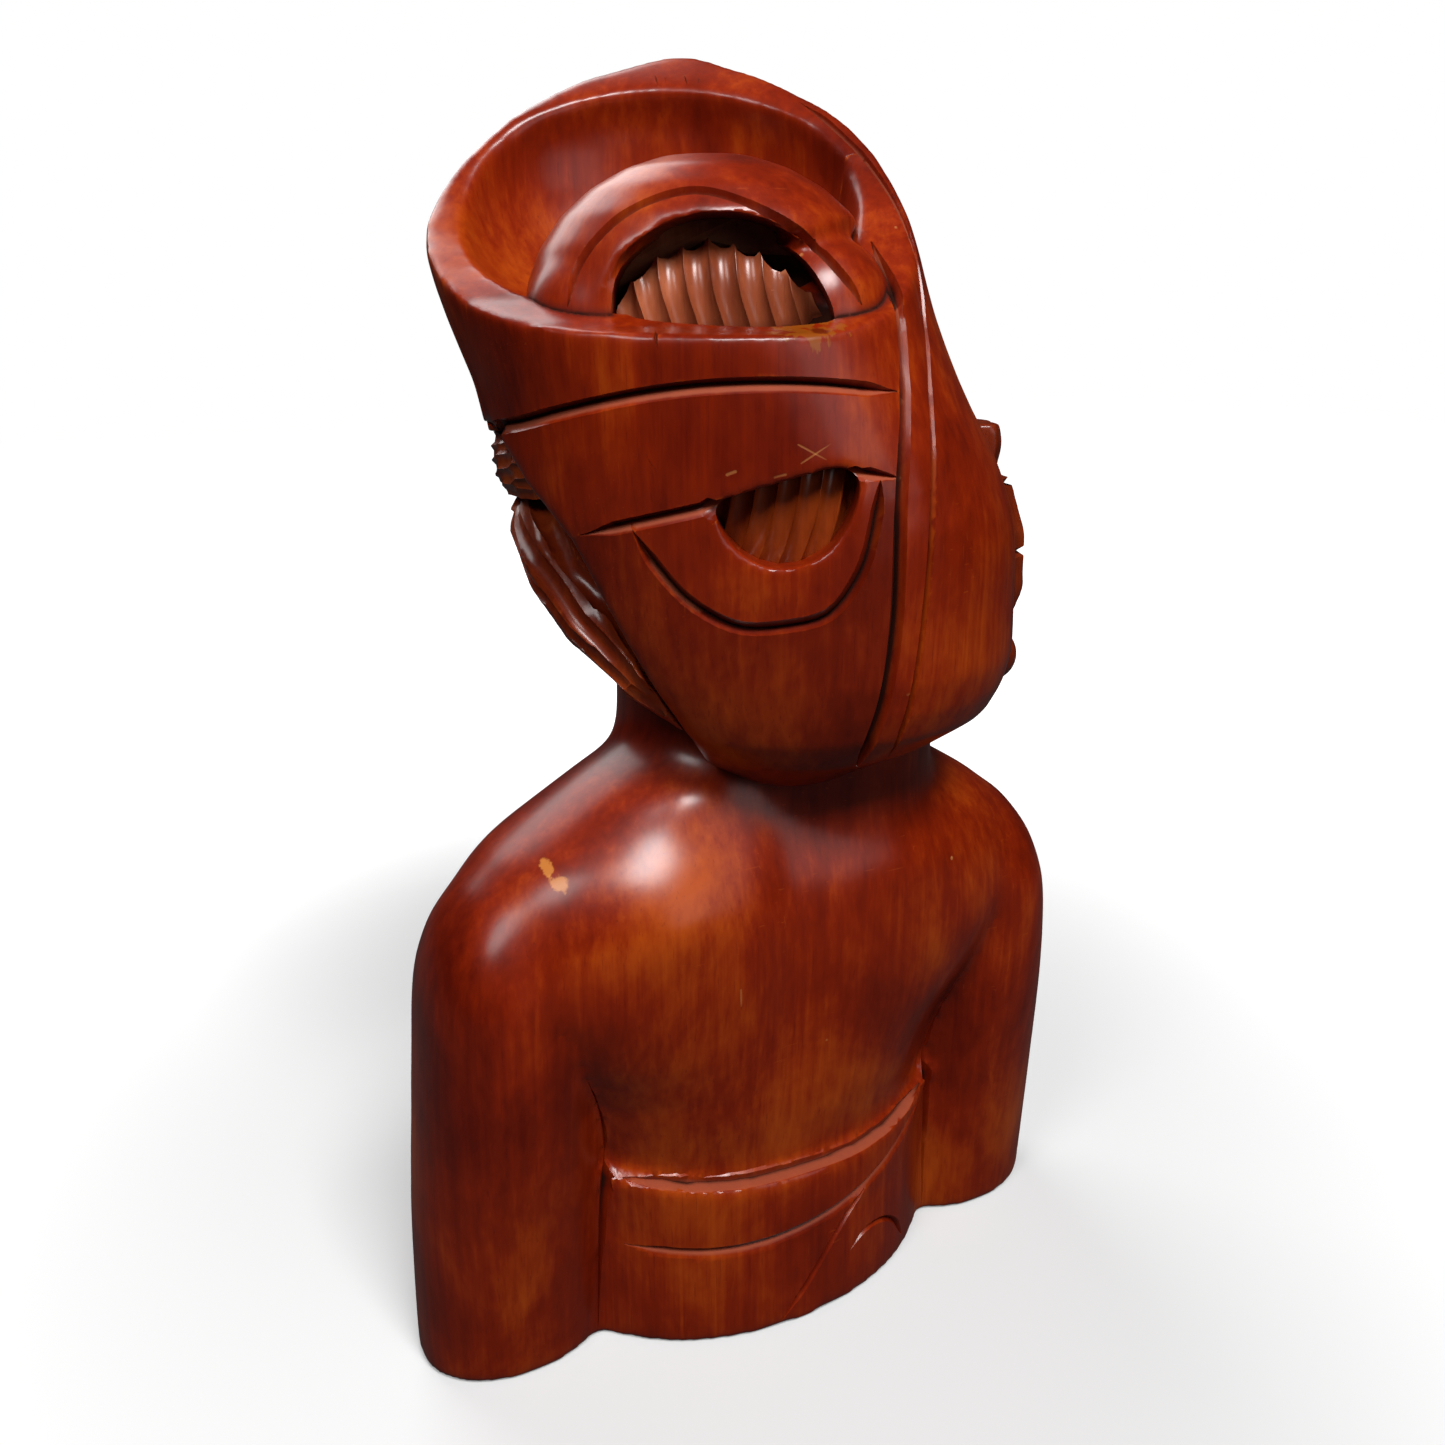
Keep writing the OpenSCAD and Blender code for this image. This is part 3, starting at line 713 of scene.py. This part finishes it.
# Hair
def fluted(name, centre, size, lines, radius, depth):
    """A lock of hair: an egg with gouge flutes along lines seen square from behind."""
    piece = egg(name, centre, size, 96)
    skin = skin_of(piece)
    for line in lines:
        carve(piece, onto(skin, HEAD, line), gouge(radius, depth), taper=0)
    return piece


CROWN_LOCK = (13, 21, 287)
crown_lines = [[(x - 6, 272), (x - 3, 283), (x, 293), (x + 1, 308)] for x in CROWN_FLUTES]
crown_hair = fluted("crown_hair_lock", CROWN_LOCK, (40, 22, 24), crown_lines, radius=3.4, depth=2.1)

# What is over the fan is cut back to a deep face, and counts as cut below the core's skin, so that it is
# painted dark as shade
fan_x, fan_z = zip(*FAN)
scallops = []
for x in CROWN_FLUTES:
    if fan_x[0] - 1 < x < fan_x[-1] + 1:
        for aside, dip in SCALLOP:
            across = x + 1 + aside
            scallops.append((across, float(np.interp(across, fan_x, fan_z)) - dip))
over_fan = [(-40, scallops[0][1])] + scallops + [(70, scallops[-1][1]), (70, 330), (-40, 330)]
boolean(crown_hair, prism("over_fan", HEAD, over_fan, low_y=27, high_y=90), "DIFFERENCE")
core = egg("core", CROWN_LOCK, (37.6, 19.6, 21.6))
hair_core = skin_of(core)
discard(core)

nape_lines = [[(x + 7, 222), (x + 3, 231), (x, 241), (x - 2, 254)] for x in NAPE_FLUTES]
nape_hair = fluted("nape_hair_lock", (0, 44, 246), (21, 13, 27), nape_lines, radius=2.9, depth=1.8)
temple_left = copies("temple_left_lock", ["temple_hair_left"])
temple_right = copies("temple_right_lock", ["temple_hair_right"])
roll_left = copies("roll_left_lock", ["side_roll_left"])
roll_right = copies("roll_right_lock", ["side_roll_right"])
join(roll_right, egg("curl", (-67, -26, 186), (10, 12, 9)))
join(roll_right, egg("lock", (-55, -22, 212), (12, 14, 36)))
for piece in (temple_left, temple_right, roll_left, roll_right):
    fuse(piece, grow=0.0002, voxel=0.0009, rounds=6)
skin = skin_of(roll_left)
for line in ROLL_RIDGES:
    carve(roll_left, beside(skin, HEAD, line), gouge(radius=3, depth=1.9), taper=2)
skin = skin_of(temple_left)
for k in range(6):
    top = 260 - 4.8 * k
    line = [(56, 26, top + 4), (66, 25, top + 2), (74, 16, top - 1), (80, 0, top - 5), (76, -24, top - 8)]
    carve(temple_left, beside(skin, HEAD, line), gouge(radius=2.7, depth=1.9), taper=2)
skin = skin_of(roll_right)
for z in RING_HEIGHTS:
    ring = [(-70, -12, z), (-80, -24, z), (-74, -38, z), (-62, -42, z)]
    carve(roll_right, beside(skin, HEAD, ring), vee(3, 2.4), taper=1)

# Dowels in the shoulders
dowels = copies("dowel_pins", ["shoulder_dowels"])

# Part the wrap along the bottoms of its lines
strip_left = line_at(STRAP_LEFT)
strip_right = line_at(STRAP_RIGHT)
outline = strip_left + [(-19, 140), (-27, 140)] + strip_right[::-1]
strap = part_off(cloth, "strap", prism("strip", HEAD, outline, low_y=-4, high_y=120))
right_edge = [(x, z) for x, z in strip_left if z < 269]
outline = line_at(UPPER_LINE) + right_edge + [(-19, 120), (110, 120), (110, 250)]
panel = part_off(cloth, "panel", prism("left_side", HEAD, outline, low_y=7, high_y=120))
outline = line_at([(110, 230)] + MIDDLE_LINE + [(-60, 249)]) + [(-60, 120), (110, 120)]
back_panel = part_off(panel, "back_panel", prism("under_middle", HEAD, outline, low_y=0, high_y=120))
outline = line_at(CRESCENT) + [(-22, 262), (36, 262)]
crescent = part_off(back_panel, "crescent", prism("sickle", HEAD, outline, low_y=0, high_y=120))

# Woods: deep, middle and light tone, ledge dust with painted light, and roughness
smooth_wood = carved_wood("smooth_wood", colour(0.09, 0.004, 0.0004), colour(0.22, 0.014, 0.0007),
                          colour(0.40, 0.06, 0.003), colour(0.33, 0.08, 0.04), 0.36)
# A darker copy of smooth_wood: painted shade on the back panel under the crown's overhang
painted_shade_wood = carved_wood("painted_shade_wood", colour(0.06, 0.003, 0.0003), colour(0.15, 0.009, 0.0005),
                         colour(0.28, 0.036, 0.002), colour(0.33, 0.08, 0.04), 0.36)
lock_wood = carved_wood("lock_wood", colour(0.08, 0.005, 0.001), colour(0.20, 0.022, 0.003),
                        colour(0.36, 0.07, 0.012), colour(0.30, 0.08, 0.035), 0.36)
# A paler copy: painted light and highlight on the crown's hair, which sits in shade under the arch
lit_crown_wood = carved_wood("lit_crown_wood", colour(0.15, 0.028, 0.010), colour(0.30, 0.07, 0.026),
                         colour(0.48, 0.17, 0.08), colour(0.46, 0.20, 0.11), 0.3)
# A paler copy: painted light on the nape's hair, which sits in shade
lit_nape_wood = carved_wood("lit_nape_wood", colour(0.14, 0.016, 0.002), colour(0.30, 0.045, 0.005),
                        colour(0.45, 0.11, 0.02), colour(0.42, 0.14, 0.05), 0.36)
pin_wood = carved_wood("pin_wood", colour(0.25, 0.12, 0.05), colour(0.4, 0.22, 0.1),
                       colour(0.5, 0.3, 0.16), colour(0.45, 0.3, 0.18), 0.5)

# Every piece, with its uncut skin, the neighbours near which it is painted darker as shade, its wood and
# the nodes it stands for
arch_face = skin_of(arch)
cloth_face = skin_of(cloth)
panel_face = skin_of(back_panel)
for piece, skin, others, wood, nodes in (
    (cloth, cloth_skin, [arch_face], smooth_wood, CLOTH_NODES),
    (strap, cloth_skin, [], smooth_wood, ["wrap_strap"]),
    (panel, cloth_skin, [], smooth_wood, ["wrap_band_middle"]),
    (back_panel, cloth_skin, [], painted_shade_wood, ["wrap_back_panel"]),
    (crescent, cloth_skin, [], smooth_wood, ["wrap_crescent"]),
    (arch, arch_skin, [cloth_face], smooth_wood, ["wrap_arch"]),
    (body, body_skin, [], smooth_wood, BODY_NODES + ["dress_band", "dress_skirt"]),
    (face, face_skin, [], smooth_wood, ["head"]),
    (crown_hair, hair_core, [arch_face, cloth_face], lit_crown_wood, ["crown_hair"]),
    (nape_hair, None, [], lit_nape_wood, ["nape_hair"]),
    (temple_left, None, [cloth_face], lock_wood, ["temple_hair_left"]),
    (temple_right, None, [cloth_face], lock_wood, ["temple_hair_right"]),
    (roll_left, None, [panel_face], lock_wood, ["side_roll_left"]),
    (roll_right, None, [cloth_face], lock_wood, ["side_roll_right"]),
    (dowels, None, [], pin_wood, ["shoulder_dowels"]),
):
    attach(piece, "root")
    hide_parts(*nodes)
    mark_wear_and_shade(piece, skin, others)
    pick(piece)
    bpy.ops.object.shade_smooth_by_angle(angle=math.radians(38))
    piece.data.materials.clear()
    piece.data.materials.append(wood)

# Camera, as the photo was taken
camera_data = bpy.data.cameras.new("camera")
camera = bpy.data.objects.new("camera", camera_data)
bpy.context.scene.collection.objects.link(camera)
bpy.context.scene.camera = camera
camera_data.sensor_width = 36
camera_data.lens = 30.4
camera_data.shift_x = 0.0095
camera_data.shift_y = -0.0487
aim = Vector((-0.425, -0.865, -0.267)).normalized()
side = Vector((-0.897, 0.443, -0.005)).normalized()
up = side.cross(aim).normalized()
side = aim.cross(up)
stand = Vector((154.7, 314.4, 286.2)) * MM
camera.matrix_world = Matrix((
    (side.x, up.x, -aim.x, stand.x),
    (side.y, up.y, -aim.y, stand.y),
    (side.z, up.z, -aim.z, stand.z),
    (0, 0, 0, 1),
))

# Floor and light
deselect()
bpy.ops.mesh.primitive_plane_add(size=6, location=(0, 0, 0))
floor = bpy.context.object
floor.name = "floor"
white = bpy.data.materials.new("white_floor")
white.use_nodes = True
floor.data.materials.append(white)
paper = Value(white.node_tree)
sight = paper.node("LightPath", output=0)
spread = paper.node("VectorMath", {"operation": "LENGTH"}, {0: paper.node("TexCoord", output=3)}, 1)

# For the camera the floor is pale, and glows more with distance, where the lamps don't reach
near_glow = 0.22
far_glow = 0.85
glow = sight * (near_glow + spread.between(0.12, 0.6) * far_glow)
pale = sight * 0.5 + 0.05
sheet = white.node_tree.nodes["Principled BSDF"]
sheet.inputs["Roughness"].default_value = 0.9
sheet.inputs["Specular IOR Level"].default_value = 0
sheet.inputs["Emission Strength"].default_value = 1
white.node_tree.links.new(pale.socket, sheet.inputs["Base Color"])
white.node_tree.links.new(glow.socket, sheet.inputs["Emission Color"])

scene = bpy.context.scene
scene.view_settings.view_transform = "Standard"
world = bpy.data.worlds.new("studio")
scene.world = world
world.use_nodes = True
sky = Value(world.node_tree)
sight = sky.node("LightPath", output=0)
backdrop = world.node_tree.nodes["Background"]
backdrop.inputs["Strength"].default_value = 1
brightness = sight * 0.985 + 0.015
world.node_tree.links.new(brightness.socket, backdrop.inputs["Color"])


def lamp(name, place, size, power):
    """An area lamp that looks at the middle of the bust."""
    data = bpy.data.lights.new(name, "AREA")
    data.shape = "RECTANGLE"
    data.size, data.size_y = size
    data.energy = power
    thing = bpy.data.objects.new(name, data)
    thing.location = place
    thing.rotation_euler = (LAMP_TARGET - Vector(place)).to_track_quat("-Z", "Y").to_euler()
    bpy.context.scene.collection.objects.link(thing)


LAMP_TARGET = Vector((0, 0, 0.2))
lamp("ceiling", place=(0.05, 0.7, 1.15), size=(0.4, 0.35), power=15.5)
lamp("window", place=(0.65, 0.45, 0.95), size=(0.3, 0.4), power=4)
lamp("fill", place=(-0.3, 1.1, 0.5), size=(0.6, 0.6), power=1.5)
lamp("front", place=(0.2, -0.9, 1.05), size=(0.9, 0.9), power=9)
